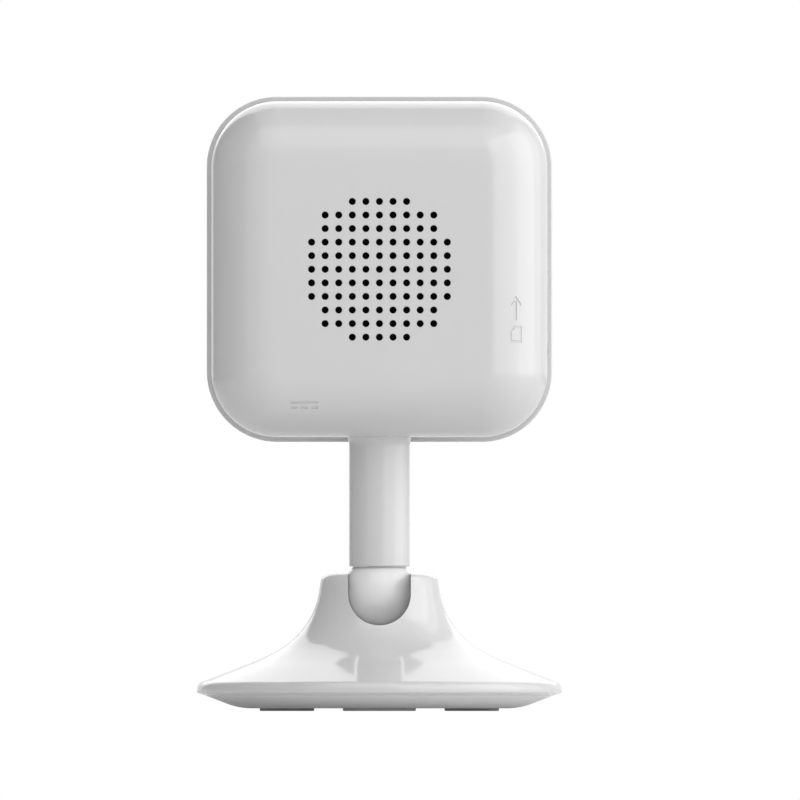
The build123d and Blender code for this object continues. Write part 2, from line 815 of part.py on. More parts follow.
with BuildPart() as swivel_spring:
    with BuildSketch(Plane.XZ):
        Polygon(
            (swivel_ring, washer_top),
            (swivel_ring, washer_top + swivel_spring_sheet),
            (swivel_screw_diameter / 2 + seat_gap, spring_top),
            (swivel_screw_diameter / 2 + seat_gap, spring_top - swivel_spring_sheet),
            align=None,
        )
    revolve(axis=Axis.Z)
pieces["swivel_spring"] = swivel_spring

with BuildPart() as swivel_screw:
    with BuildSketch(level(spring_top)):
        Circle(swivel_head_diameter / 2)
    extrude(amount=swivel_head_height)
    with BuildSketch(level(spring_top)):
        Circle(swivel_screw_diameter / 2)
    extrude(amount=spigot_top - swivel_screw_grip + seat_gap - spring_top)
pieces["swivel_screw"] = swivel_screw

# Hollow of the base, less the posts that stand in it
flange_slope = tan(radians(flange_rise))
flare_height = rim_top + flange_slope * (base_radius - flare_radius)
flange_reach = hypot(1, flange_slope)
flange_drop = base_wall * flange_reach
flare_curve = JernArc((flare_radius, flare_height), (-1, flange_slope), flare_arc, -flare_turn)
waist = flare_curve @ 1
waist_lean = flare_curve % 1
neck_curve = JernArc(waist, waist_lean, neck_arc, -neck_turn)
neck_foot = neck_curve @ 1
neck_lean = neck_curve % 1
neck_wall = base_top - neck_foot.Y
neck_radius = neck_foot.X + neck_wall * neck_lean.X / neck_lean.Y
belly = neck_curve @ 0.5
belly_lean = neck_curve % 0.5
seat_radius = lip_radius - cover_edge
seat_top = lip_height + cover_seat
with BuildPart() as base_hollow:
    with BuildSketch(Plane.XZ):
        Polygon(
            (0, lip_height),
            (lip_radius, lip_height),
            (lip_radius, seat_top),
            (seat_radius, seat_top),
            (seat_radius, rim_top + flange_slope * (base_radius - seat_radius) - flange_drop),
            (flare_radius - base_wall * flange_slope / flange_reach, flare_height - base_wall / flange_reach),
            (waist.X - base_wall * waist_lean.Y, waist.Y + base_wall * waist_lean.X),
            (belly.X - base_wall * belly_lean.Y, belly.Y + base_wall * belly_lean.X),
            (neck_bore / 2, belly.Y + base_wall),
            (neck_bore / 2, base_top - base_wall),
            (0, base_top - base_wall),
            align=None,
        )
    revolve(axis=Axis.Z)
    with BuildSketch(level(base_post_bottom)):
        with PolarLocations(pad_radius, pad_count, pad_turn):
            Rectangle(screw_post, screw_post)
    extrude(amount=base_top, mode=Mode.SUBTRACT)
    with BuildSketch(level(yoke_post_bottom)):
        with GridLocations(2 * yoke_screw_x, 0, 2, 1):
            Rectangle(screw_post, screw_post)
    extrude(amount=base_top, mode=Mode.SUBTRACT)

# Bell-shaped base with the socket of the ball and the slot that the stem folds into
with BuildPart() as base_dome:
    with BuildSketch(Plane.XZ) as bell:
        with BuildLine():
            Polyline(
                (0, base_top),
                (0, lip_height),
                (lip_radius, lip_height),
                (base_radius, rim_bottom),
                (base_radius, rim_top),
                (flare_radius, flare_height),
            )
            add(flare_curve)
            add(neck_curve)
            Polyline(neck_foot, (neck_radius, base_top), (0, base_top))
        make_face()
        fillet(bell.vertices().sort_by_distance((base_radius, rim_top, 0))[0], rim_round)
        neck_rim = bell.vertices().sort_by_distance((neck_radius, base_top, 0))[0]
        fillet(neck_rim, min(neck_round, neck_round_share * neck_wall))
    revolve(axis=Axis.Z)
    add(base_hollow.part, mode=Mode.SUBTRACT)
    with BuildSketch(Plane.XZ):
        with Locations((0, pivot_height)):
            Circle(slot_radius)
            Rectangle(2 * slot_radius, base_top, align=(Align.CENTER, Align.MIN))
    extrude(amount=-base_radius, mode=Mode.SUBTRACT)
    with Locations((0, 0, pivot_height)):
        Sphere(socket_radius, mode=Mode.SUBTRACT)
    with BuildSketch(level(base_post_bottom)):
        with PolarLocations(pad_radius, pad_count, pad_turn):
            Circle(screw_diameter / 2)
    extrude(amount=base_screw_length - base_wall / 2, mode=Mode.SUBTRACT)
    with BuildSketch(level(yoke_post_bottom)):
        with GridLocations(2 * yoke_screw_x, 0, 2, 1):
            Circle(screw_diameter / 2)
    extrude(amount=yoke_screw_length - yoke_ear_thick, mode=Mode.SUBTRACT)
pieces["base_dome"] = base_dome

# Dished bottom cover with pad recesses, screw cups and ribs round the magnet
cover_radius = lip_radius - seat_gap
cover_run = (lip_height - cover_bottom) / tan(radians(cover_rise))
pad_arc = CenterArc((0, 0), pad_radius, -pad_span / 2, pad_span)
with BuildPart() as base_bottom_cover:
    with BuildSketch(Plane.XZ) as dish:
        Polygon(
            (0, cover_bottom),
            (cover_radius - cover_run, cover_bottom),
            (cover_radius, lip_height),
            (cover_radius, seat_top),
            (seat_radius, seat_top),
            (seat_radius - cover_run, cover_floor),
            (0, cover_floor),
            align=None,
        )
        fillet(dish.vertices().sort_by_distance((cover_radius - cover_run, cover_bottom, 0))[0], cover_round)
    revolve(axis=Axis.Z)
    with BuildSketch(level(cover_floor)):
        with PolarLocations(pad_radius, pad_count, pad_turn):
            Rectangle(screw_post + screw_diameter, screw_post + screw_diameter)
    extrude(amount=base_post_bottom - cover_floor)
    with BuildSketch(level(cover_floor)):
        with PolarLocations(magnet_diameter / 2 + seat_gap + cover_wall / 2, pad_count, -pad_turn):
            Rectangle(cover_wall, pad_width)
    extrude(amount=magnet_thick)
    with BuildSketch(level(cover_bottom)):
        with PolarLocations(0, pad_count, pad_turn):
            SlotArc(pad_arc, pad_width + 2 * seat_gap)
    extrude(amount=pad_thick - pad_proud, mode=Mode.SUBTRACT)
    with BuildSketch(level(pad_floor)):
        with PolarLocations(pad_radius, pad_count, pad_turn):
            Circle(screw_head_diameter / 2 + seat_gap)
    extrude(amount=head_seat - pad_floor, mode=Mode.SUBTRACT)
    with BuildSketch(level(head_seat)):
        with PolarLocations(pad_radius, pad_count, pad_turn):
            Circle(screw_diameter / 2 + seat_gap)
    extrude(amount=base_post_bottom - head_seat, mode=Mode.SUBTRACT)
pieces["base_bottom_cover"] = base_bottom_cover

# Three arc-shaped rubber pads
with BuildPart() as base_pads:
    with BuildSketch(Plane.XY):
        with PolarLocations(0, pad_count, pad_turn):
            SlotArc(pad_arc, pad_width)
    extrude(amount=pad_thick)
pieces["base_pads"] = base_pads

with BuildPart() as base_magnet:
    with BuildSketch(level(cover_floor)):
        Circle(magnet_diameter / 2)
    extrude(amount=magnet_thick)
pieces["base_magnet"] = base_magnet

with BuildPart() as magnet_keeper:
    with BuildSketch(level(magnet_top)):
        Circle(magnet_diameter / 2)
    extrude(amount=keeper_thick)
pieces["magnet_keeper"] = magnet_keeper

# Yoke: a block in the neck, hung from two ears, with a cup for the ball and a trough for the folded stem
with BuildPart() as hinge_yoke:
    with BuildSketch(level(yoke_bottom)):
        Circle(yoke_radius)
    extrude(amount=yoke_top - yoke_bottom)
    with BuildSketch(level(yoke_bottom)):
        Rectangle(yoke_span, yoke_ear_width)
    extrude(amount=yoke_ear_thick)
    with BuildSketch(Plane.XZ):
        with Locations((0, pivot_height)):
            Circle(trough_radius)
            Rectangle(2 * trough_radius, yoke_top, align=(Align.CENTER, Align.MIN))
    extrude(amount=-yoke_radius, mode=Mode.SUBTRACT)
    with Locations((0, 0, pivot_height)):
        Sphere(socket_radius, mode=Mode.SUBTRACT)
    with BuildSketch(level(pivot_height)):
        Circle(socket_radius)
    extrude(amount=yoke_top - pivot_height, mode=Mode.SUBTRACT)
    with BuildSketch(level(brake_seat)):
        Circle(brake_diameter / 2 + seat_gap)
    extrude(amount=pivot_height - brake_seat, mode=Mode.SUBTRACT)
    with BuildSketch(Plane.YZ):
        with Locations((0, pivot_height)):
            Circle(hinge_pin_diameter / 2)
    extrude(amount=yoke_radius, both=True, mode=Mode.SUBTRACT)
    with BuildSketch(level(yoke_bottom)):
        with GridLocations(2 * yoke_screw_x, 0, 2, 1):
            Circle(screw_diameter / 2 + seat_gap)
    extrude(amount=yoke_ear_thick, mode=Mode.SUBTRACT)
pieces["hinge_yoke"] = hinge_yoke

with BuildPart() as hinge_pin:
    with BuildSketch(Plane.YZ):
        with Locations((0, pivot_height)):
            Circle(hinge_pin_diameter / 2)
    extrude(amount=hinge_pin_length / 2, both=True)
pieces["hinge_pin"] = hinge_pin

# Friction brake under the ball of the knuckle
with BuildPart() as friction_pad:
    with BuildSketch(level(brake_bottom)):
        Circle(brake_diameter / 2)
    extrude(amount=brake_thick)
pieces["friction_pad"] = friction_pad

with BuildPart() as friction_spring:
    with BuildSketch(Plane.XZ):
        Polygon(
            (brake_diameter / 2, brake_seat),
            (brake_diameter / 2, brake_seat + brake_spring_sheet),
            (brake_spring_bore / 2, brake_bottom),
            (brake_spring_bore / 2, brake_bottom - brake_spring_sheet),
            align=None,
        )
    revolve(axis=Axis.Z)
pieces["friction_spring"] = friction_spring

# Screw groups: plane under the heads, places, shank length, and the shank's way along the plane's normal
pad_spots = [spot.position for spot in PolarLocations(pad_radius, pad_count, pad_turn).local_locations]
ear_spots = [(-yoke_screw_x, 0), (yoke_screw_x, 0)]
screw_groups = [
    ("base_screws", level(head_seat), pad_spots, base_screw_length, 1),
    ("yoke_screws", level(yoke_bottom), ear_spots, yoke_screw_length, 1),
    ("main_board_screws", facing_front(board_front), board_posts, board_screw_length, -1),
    ("front_board_screws", facing_front(front_board_back), front_posts, front_screw_length, 1),
]
for name, plane, spots, length, way in screw_groups:
    with BuildPart() as screws:
        with BuildSketch(plane):
            with Locations(*spots):
                RegularPolygon(screw_head_diameter / 2, screw_sides)
        extrude(amount=-way * screw_head_height)
        with BuildSketch(plane):
            with Locations(*spots):
                RegularPolygon(screw_diameter / 2, screw_sides)
        extrude(amount=way * length)
    pieces[name] = screws

os.makedirs("parts", exist_ok=True)
for name, piece in pieces.items():
    piece.part.label = name
    export_step(piece.part, f"parts/{name}.step")
print(len(pieces), "pieces written")
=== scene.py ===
# %% [markdown]
# This lesson dresses a small desk camera, seen from behind. The real one is made of glossy white
# mouldings: a square head with soft corners, a round stem, and a bell-shaped foot with a slot that the
# stem folds back into. The CAD frame already holds every piece at its true size, so the lesson only
# decides what each looks like.

# %% load the frame
import json
from math import asin, atan2, cos, pi, radians, sin, sqrt, tan

import bmesh
import bpy
from mathutils import Matrix, Vector


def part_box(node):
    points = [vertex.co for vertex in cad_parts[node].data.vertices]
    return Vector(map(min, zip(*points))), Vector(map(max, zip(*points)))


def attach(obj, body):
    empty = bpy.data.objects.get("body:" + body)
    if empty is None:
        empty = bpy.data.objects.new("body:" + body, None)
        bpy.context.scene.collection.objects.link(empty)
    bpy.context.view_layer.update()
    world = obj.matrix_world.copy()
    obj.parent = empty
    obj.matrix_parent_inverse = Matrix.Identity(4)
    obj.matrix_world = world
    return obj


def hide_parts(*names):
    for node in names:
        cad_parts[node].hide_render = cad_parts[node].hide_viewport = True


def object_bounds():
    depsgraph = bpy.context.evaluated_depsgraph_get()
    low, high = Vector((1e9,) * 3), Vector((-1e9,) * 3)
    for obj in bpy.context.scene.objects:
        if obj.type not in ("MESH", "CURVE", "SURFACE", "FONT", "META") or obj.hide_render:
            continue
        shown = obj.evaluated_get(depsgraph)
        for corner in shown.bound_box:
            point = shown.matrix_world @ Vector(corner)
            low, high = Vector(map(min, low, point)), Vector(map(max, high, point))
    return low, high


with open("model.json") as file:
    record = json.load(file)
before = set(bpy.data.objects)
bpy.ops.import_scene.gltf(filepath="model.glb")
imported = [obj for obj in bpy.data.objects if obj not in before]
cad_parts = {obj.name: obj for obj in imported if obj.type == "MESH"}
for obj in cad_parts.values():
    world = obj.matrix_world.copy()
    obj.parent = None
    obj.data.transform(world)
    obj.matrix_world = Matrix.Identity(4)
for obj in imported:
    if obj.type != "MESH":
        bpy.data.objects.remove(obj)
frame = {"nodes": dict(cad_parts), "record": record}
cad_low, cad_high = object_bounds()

mm = 0.001
cad_size = [round((top - bottom) / mm, 1) for bottom, top in zip(cad_low, cad_high)]
print("CAD nodes:", len(frame["nodes"]), "size in mm:", cad_size)

# %% [markdown]
# Glossy plastic shows every facet and every hard crease, so the outside shells are modelled again with
# clean, evenly rounded meshes. Two helpers do most of it. One turns an outline about the upright axis, as
# on a lathe. The other starts from a block and rounds its edges, as a moulder would round the cavity of a
# tool.

# %% helpers for shapes
weld = 0.0001 * mm  # points closer than this are one
hair = 0.001 * mm  # a length under this counts as none


def lathe(outline, closed=True, steps=160, segments=12):
    """Spins an outline of (radius, height, reach) about Z; reach is how far a corner's rounding runs."""
    shape = bmesh.new()
    corners = [shape.verts.new((radius, 0, height)) for radius, height, _ in outline]
    for a, b in zip(corners, corners[1:]):
        shape.edges.new((a, b))
    if closed:
        shape.edges.new((corners[-1], corners[0]))
    for corner, (_, _, reach) in zip(corners, outline):
        if reach:
            bmesh.ops.bevel(shape, geom=[corner], offset=reach, segments=segments, profile=0.5,
                            affect="VERTICES", material=-1)
    bmesh.ops.spin(shape, geom=shape.verts[:] + shape.edges[:], cent=(0, 0, 0), axis=(0, 0, 1),
                   angle=2 * pi, steps=steps, use_merge=True)
    bmesh.ops.remove_doubles(shape, verts=shape.verts, dist=weld)
    bmesh.ops.recalc_face_normals(shape, faces=shape.faces)
    return shape


def rod(radius, low, high, steps=160):
    """A plain round bar on the upright axis."""
    return lathe([(0, low, 0), (radius, low, 0), (radius, high, 0), (0, high, 0)], closed=False, steps=steps)


def block(low, high):
    """A plain block between two corners, the start of a shape that is worked further."""
    shape = bmesh.new()
    size = Vector(high) - Vector(low)
    middle = (Vector(high) + Vector(low)) / 2
    bmesh.ops.create_cube(shape, size=1, matrix=Matrix.Translation(middle) @ Matrix.Diagonal((*size, 1)))
    return shape


def round_edges(shape, chosen, radius, segments=12):
    """Rounds the edges that a test picks out."""
    edges = [edge for edge in shape.edges if chosen(*(vert.co for vert in edge.verts))]
    bmesh.ops.bevel(shape, geom=edges, offset=radius, segments=segments, profile=0.5,
                    affect="EDGES", material=-1)
    return len(edges)


def rounded_case(low, high, corner, front=0.0, back=0.0):
    """A block with its four upright corners rounded, and its front and back rims rounded after that."""
    shape = block(low, high)
    round_edges(shape, lambda a, b: abs(a.y - b.y) > hair, corner, 24)
    for depth, radius, segments in ((high[1], back, 24), (low[1], front, 12)):
        if radius:
            round_edges(shape, lambda a, b: max(abs(a.y - depth), abs(b.y - depth)) < weld, radius, segments)
    bmesh.ops.recalc_face_normals(shape, faces=shape.faces)
    return shape


# %% [markdown]
# The next helpers turn a shape into an object, cut one object with others, and finish a piece: smooth
# shading with its true edges kept, and its place on the moving body that carries it.


# %% helpers for pieces
def object_from(shape, name):
    """Makes an object of a finished shape."""
    mesh = bpy.data.meshes.new(name)
    shape.to_mesh(mesh)
    shape.free()
    made = bpy.data.objects.new(name, mesh)
    bpy.context.scene.collection.objects.link(made)
    return made


def settle(made):
    """Turns an object's modifiers into its own mesh."""
    made_now = made.evaluated_get(bpy.context.evaluated_depsgraph_get())
    mesh = bpy.data.meshes.new_from_object(made_now)
    old = made.data
    made.modifiers.clear()
    made.data = mesh
    mesh.name = made.name
    bpy.data.meshes.remove(old)


def cut(made, *cutters, way="DIFFERENCE", crossing=False):
    """Takes cutters out of an object, or joins them on; crossing says that a cutter's own pieces overlap."""
    tools = [object_from(cutter, "cutter") for cutter in cutters]
    for tool in tools:
        step = made.modifiers.new("cut", "BOOLEAN")
        step.operation = way
        step.solver = "EXACT"
        step.use_self = crossing
        step.object = tool
    settle(made)
    for tool in tools:
        mesh = tool.data
        bpy.data.objects.remove(tool)
        bpy.data.meshes.remove(mesh)


def finish_piece(made, body, slot, *nodes, sharp=32):
    """Smooth shading with true edges kept, flats kept flat, and the piece joined to its body; the slot
    argument is not used.
    """
    made.data.shade_smooth()
    made.data.set_sharp_from_angle(angle=radians(sharp))
    even = made.modifiers.new("even shading", "WEIGHTED_NORMAL")
    even.keep_sharp = True
    settle(made)
    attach(made, body)
    if nodes:
        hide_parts(*nodes)
    size = [round((max(axis) - min(axis)) / mm, 2) for axis in zip(*(vert.co for vert in made.data.vertices))]
    print(made.name, "faces", len(made.data.polygons), "size in mm", size)


# %% [markdown]
# The rear cover is the face of the photo. A moulded cup: a square with round corners, whose back edge
# runs into the sides in one wide curve. It starts as a block, its corners are rounded first and the back
# rim after that, so that the two curves blend. A smaller copy of the same shape hollows it out.

# %% rear cover shell
cover_low, cover_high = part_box("rear_cover")
cover_half = cover_high.x
head_middle = (cover_low.z + cover_high.z) / 2
floor_low = cover_low.z
seam = cover_low.y
back = cover_high.y
wall = 1.8 * mm
cover_corner = 11.2 * mm
cover_round = 10.4 * mm


def square(half, front, rear):
    """Two corners of a block that is square about the head's middle."""
    return (-half, front, head_middle - half), (half, rear, head_middle + half)


rear_cover = object_from(rounded_case(*square(cover_half, seam, back), cover_corner, back=cover_round),
                         "rear_cover_shell")
cut(rear_cover, rounded_case(*square(cover_half - wall, seam - wall, back - wall), cover_corner - wall,
                             back=cover_round - wall))

# %% [markdown]
# The speaker sounds through a round field of small holes on a square grid. On the moulding each hole has
# a faint funnel at its mouth, because the pins that form it are tapered. One funnel-shaped cutter is made
# on the lathe, turned to point along the depth, and repeated over the grid.

# %% grille holes
hole_radius = 0.6 * mm
hole_mouth = 0.05 * mm
hole_pitch = 2.32 * mm
field_radius = 13.3 * mm
grid_reach = 5
lie_down = Matrix.Rotation(-pi / 2, 4, "X")


def pin(radius, mouth, low, high):
    """A tapered pin along +Y whose mouth opens at the far end."""
    shape = lathe([(0, low, 0), (radius, low, 0), (radius, high - mouth, 0), (radius + mouth, high, 0),
                   (radius + mouth, high + mm, 0), (0, high + mm, 0)], closed=False, steps=20)
    bmesh.ops.transform(shape, matrix=lie_down, verts=shape.verts)
    return shape


pins = bmesh.new()
grid = [step * hole_pitch for step in range(-grid_reach, grid_reach + 1)]
places = [(x, z) for x in grid for z in grid if x * x + z * z < field_radius ** 2]
for x, z in places:
    one = pin(hole_radius, hole_mouth, back - 2 * wall, back)
    bmesh.ops.translate(one, verts=one.verts, vec=(x, 0, head_middle + z))
    mesh = bpy.data.meshes.new("pin")
    one.to_mesh(mesh)
    one.free()
    pins.from_mesh(mesh)
    bpy.data.meshes.remove(mesh)
cut(rear_cover, pins)
print("grille holes:", len(places))

# %% [markdown]
# The openings for the power plug, the reset pin and the memory card go through the floor and the side.
# The card slot sits in a slightly raised rim, so that a finger finds it. Each opening is cut where the
# piece behind it sits, so the places come from the CAD boxes of those pieces.


# %% openings in the cover
def centre(node_name):
    """The middle of a CAD node's box."""
    low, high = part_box(node_name)
    return (low + high) / 2


through = 3 * mm  # how far a cutter reaches past the outer face
usb = centre("usb_socket")
port_width = 8.1 * mm
port_height = 3.2 * mm
port_corner = 0.6 * mm
port = block((usb.x - port_width / 2, usb.y - port_height / 2, floor_low - mm),
             (usb.x + port_width / 2, usb.y + port_height / 2, floor_low + through))
round_edges(port, lambda a, b: abs(a.z - b.z) > mm, port_corner, 6)

reset = centre("reset_button")
reset_radius = 1.55 * mm
reset_hole = rod(reset_radius, floor_low - mm, floor_low + through, 32)
bmesh.ops.translate(reset_hole, verts=reset_hole.verts, vec=(reset.x, reset.y, 0))

card = centre("card_socket")
rim_length = 14.5 * mm
rim_width = 5.0 * mm
rim_end = 0.49
slot_length = 12.0 * mm
slot_width = 1.4 * mm
slot_end = 0.45


def side_block(length, width, low, high, end):
    """A block on the card side, long upwards; end is the rounding of its ends as a share of its width."""
    shape = block((low, card.y - width / 2, card.z - length / 2),
                  (high, card.y + width / 2, card.z + length / 2))
    round_edges(shape, lambda a, b: abs(a.x - b.x) > hair, width * end, 10)
    return shape


cut(rear_cover, side_block(rim_length, rim_width, cover_low.x, -cover_half + wall / 2, rim_end), way="UNION")
cut(rear_cover, port, reset_hole,
    side_block(slot_length, slot_width, -cover_half - mm, -cover_half + through, slot_end))
print("openings at x in mm:", round(usb.x / mm, 2), round(reset.x / mm, 2))

# %% [markdown]
# Two small marks are sunk into the curved edge, beside the card slot and above the power port. They are
# plain signs that belong to no maker: a card outline with an arrow, and a bar over three dashes for
# direct current. Each is drawn flat and then laid on the tangent of the curve, so it sinks to an even
# depth.

# %% helpers for sunk marks
mark_depth = 0.14 * mm
stroke = 0.36 * mm
flat_half = cover_half - cover_round


def bar(strokes, start, end, width=stroke):
    """Adds one straight stroke, a millimetre thick, between two points of the mark's flat drawing."""
    a, b = Vector((*start, 0)), Vector((*end, 0))
    along = b - a
    turn = Matrix.Rotation(atan2(along.y, along.x), 4, "Z")
    size = Matrix.Diagonal((along.length + width, width, mm, 1))
    bmesh.ops.create_cube(strokes, size=1, matrix=Matrix.Translation((a + b) / 2) @ turn @ size)


def sink(strokes, anchor, right, up):
    """Lays a drawing on the cover at an anchor and cuts it to depth."""
    out = right.cross(up).normalized()
    facing = Matrix((right, up, out)).transposed().to_4x4()
    lift = Matrix.Translation((0, 0, mm / 2 - mark_depth))
    bmesh.ops.transform(strokes, matrix=Matrix.Translation(anchor) @ facing @ lift, verts=strokes.verts)
    cut(rear_cover, strokes, crossing=True)


def on_curve(beyond):
    """Depth and lean of the back edge's curve, some way outside the flat."""
    lean = asin(beyond / cover_round)
    return back - cover_round * (1 - cos(lean)), lean


# %% card mark
card_mark_x = 23.3 * mm
card_mark_z = 64.4 * mm
half_wide = 1.0 * mm
half_high = 1.25 * mm
clip = 0.7 * mm
arrow_foot = 2.6 * mm
arrow_tip = 6.2 * mm
barb_end = 5.1 * mm
barb_side = 0.9 * mm
card_mark = bmesh.new()
outline = [(-half_wide, -half_high), (half_wide, -half_high), (half_wide, half_high),
           (-half_wide + clip, half_high), (-half_wide, half_high - clip)]
for start, end in zip(outline, outline[1:] + outline[:1]):
    bar(card_mark, start, end)
bar(card_mark, (0, arrow_foot), (0, arrow_tip))
for side in (-barb_side, barb_side):
    bar(card_mark, (0, arrow_tip), (side, barb_end))
depth, lean = on_curve(card_mark_x - flat_half)
sink(card_mark, Vector((-card_mark_x, depth, card_mark_z)),
     Vector((-cos(lean), -sin(lean), 0)), Vector((0, 0, 1)))

# %% power mark
power_mark_z = 52.3 * mm
bar_half = 2.2 * mm
bar_rise = 0.5 * mm
dash_half = 0.4 * mm
dash_pitch = 1.75 * mm
power_mark = bmesh.new()
bar(power_mark, (-bar_half, bar_rise), (bar_half, bar_rise))
for x in (-dash_pitch, 0, dash_pitch):
    bar(power_mark, (x - dash_half, -bar_rise), (x + dash_half, -bar_rise))
depth, lean = on_curve(head_middle - flat_half - power_mark_z)
sink(power_mark, Vector((usb.x, depth, power_mark_z)),
     Vector((-1, 0, 0)), Vector((0, sin(lean), cos(lean))))
finish_piece(rear_cover, "head", "head_shell", "rear_cover")

# %% [markdown]
# Behind the holes a thin cloth weave keeps dust off the speaker. It is a shallow disc, dished by a hair,
# that sits inside the gasket ring. Without it the light would fall straight through onto the cone. Its
# near-black colour is partly the cloth's own and partly painted shade, standing in for the dark inside
# of the holes.

# %% dust cloth
cloth_inset = 0.05 * mm
cloth_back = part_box("speaker_gasket")[1].y - cloth_inset
cloth_radius = 13.8 * mm
cloth_edge = 0.2 * mm
cloth_thick = 0.2 * mm
cloth_dish = 0.05 * mm
cloth = lathe([(0, cloth_back - cloth_thick - cloth_dish, 0),
               (cloth_radius - cloth_edge, cloth_back - cloth_thick, 0),
               (cloth_radius, cloth_back - cloth_thick / 2, 0),
               (cloth_radius - cloth_edge, cloth_back, 0),
               (0, cloth_back - cloth_dish, 0)], closed=False, steps=96)
bmesh.ops.transform(cloth, matrix=Matrix.Translation((0, 0, head_middle)) @ lie_down, verts=cloth.verts)
finish_piece(object_from(cloth, "grille_cloth"), "head", "black_rubber")

# %% [markdown]
# The front bezel is a shallow frame, a little larger than the cover, so a thin lip shows all round it
# from behind. It is the same rounded case, with a soft front rim, a small round on the lip, and stepped
# round holes for the window. The step leaves a little room behind the window for its ink.

# %% front bezel
bezel_low, bezel_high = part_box("front_bezel")
window_low, window_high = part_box("front_window")
bezel_half = bezel_high.x
bezel_corner = 12.0 * mm
bezel_front_round = 2.0 * mm
bezel_lip_round = 0.2 * mm
bezel_floor = 1.1 * mm
bezel_opening = 17.5 * mm
window_radius = window_high.x
window_gap = 0.1 * mm
ink_room = 0.09 * mm
mic_hole = 0.5 * mm


def disc_cutter(radius, low, high, x=0.0, z=head_middle, steps=160):
    """A round bar along the depth, about a point of the head's face."""
    shape = rod(radius, low, high, steps)
    bmesh.ops.transform(shape, matrix=Matrix.Translation((x, 0, z)) @ lie_down, verts=shape.verts)
    return shape


bezel = object_from(rounded_case(*square(bezel_half, bezel_low.y, seam), bezel_corner,
                                 front=bezel_front_round, back=bezel_lip_round), "front_bezel_shell")
mic = centre("microphone")
in_front = bezel_low.y - mm
cut(bezel,
    rounded_case(*square(bezel_half - wall, window_high.y + bezel_floor, seam + wall), bezel_corner - wall),
    disc_cutter(window_radius + window_gap, in_front, window_high.y + ink_room),
    disc_cutter(bezel_opening, in_front, seam),
    disc_cutter(mic_hole, in_front, seam, mic.x, mic.z, 24))
finish_piece(bezel, "head", "head_bezel", "front_bezel")

# %% [markdown]
# The window is a disc of smoked acrylic with a polished edge. Ink on its back hides the board and leaves
# clear spots for the lens, the four lamps, the light sensor and the status lamp. The ink is a real film
# here, cut where the pieces behind it are.

# %% window and its ink
window_front_edge = 0.35 * mm
window_back_edge = 0.15 * mm
window = lathe([(0, window_low.y, 0), (window_radius, window_low.y, window_front_edge),
                (window_radius, window_high.y, window_back_edge), (0, window_high.y, 0)],
               closed=False, steps=160, segments=6)
bmesh.ops.transform(window, matrix=Matrix.Translation((0, 0, head_middle)) @ lie_down, verts=window.verts)
finish_piece(object_from(window, "smoked_window"), "head", "window", "front_window")

ink_radius = 19.8 * mm
ink_gap = 0.01 * mm
ink_thick = 0.06 * mm
lens_spot = 5.4 * mm
lamp_spot = 2.3 * mm
sensor_spot = 1.1 * mm
lamp_half = 1.5 * mm
lamp_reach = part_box("ir_leds")[1].x - lamp_half * sqrt(2)


def spot(radius, x, z, steps):
    """A cutter for one clear spot in the ink."""
    return disc_cutter(radius, window_high.y - mm, window_high.y + mm, x, z, steps)


ink_front = window_high.y + ink_gap
ink = object_from(disc_cutter(ink_radius, ink_front, ink_front + ink_thick), "window_ink")
spots = [spot(lens_spot, 0, head_middle, 96)]
for x in (-lamp_reach, lamp_reach):
    for z in (-lamp_reach, lamp_reach):
        spots.append(spot(lamp_spot, x, head_middle + z, 48))
for node_name in ("light_sensor", "status_led"):
    at = centre(node_name)
    spots.append(spot(sensor_spot, at.x, at.z, 32))
cut(ink, *spots)
finish_piece(ink, "head", "black_plastic")

# %% [markdown]
# The stem is a turned tube that flares a hair where it meets the head. The knuckle under it is a ball
# that is cut flat where the stem rides on it, with a peg that goes up into the stem and a bore for the
# hinge pin. Both come off the lathe. A helper lists the points of a curve, because a ball needs more of
# them than a corner.


# %% stem
def arc(start, heading, radius, turn, count):
    """Points along a curve that turns right from a heading, and the heading where it ends."""
    x = start[0] + radius * sin(heading)
    z = start[1] - radius * cos(heading)
    angles = [heading - turn * step / count for step in range(1, count + 1)]
    return [(x - radius * sin(angle), z + radius * cos(angle), 0) for angle in angles], heading - turn


stem_low, stem_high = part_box("stem")
seat_gap = 0.02 * mm  # keeps two touching faces apart
stem_radius = 5.2 * mm
stem_foot_round = 0.22 * mm
stem_bore = 2.06 * mm
stem_hollow = 3.0 * mm
stem_hollow_floor = 33.6 * mm
stem_plug = 4.0 * mm
flare = 0.35 * mm
flare_height = 0.9 * mm
flare_round = 0.5 * mm
meets_head = floor_low + seat_gap
stem = lathe([(stem_bore, stem_low.z, 0), (stem_radius, stem_low.z, stem_foot_round),
              (stem_radius, meets_head - flare_height, flare_round), (stem_radius + flare, meets_head, 0),
              (stem_plug, meets_head, 0), (stem_plug, stem_high.z, 0), (stem_hollow, stem_high.z, 0),
              (stem_hollow, stem_hollow_floor, 0), (stem_bore, stem_hollow_floor, 0)], steps=128, segments=6)
finish_piece(object_from(stem, "stem_tube"), "head", "stem", "stem")

# %% knuckle
knuckle_low, knuckle_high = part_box("tilt_knuckle")
ball = 6.45 * mm
pivot = knuckle_low.z + ball
shoulder = stem_low.z - seat_gap
peg = 2.0 * mm
peg_round = 0.2 * mm
pin_bore = 1.55 * mm
brow = asin((shoulder - pivot) / ball)
round_side, _ = arc((ball * cos(brow), shoulder), brow - pi / 2, ball, brow + pi / 2, 48)
knuckle = lathe([(0, knuckle_high.z, 0), (peg, knuckle_high.z, peg_round), (peg, shoulder, 0),
                 (ball * cos(brow), shoulder, 0), *round_side], closed=False, steps=128, segments=4)
knuckle = object_from(knuckle, "tilt_knuckle_ball")
bore = rod(pin_bore, -ball, ball, 48)
across = Matrix.Rotation(pi / 2, 4, "Y")
bmesh.ops.transform(bore, matrix=Matrix.Translation((0, 0, pivot)) @ across, verts=bore.verts)
cut(knuckle, bore)
finish_piece(knuckle, "knuckle", "knuckle", "tilt_knuckle")

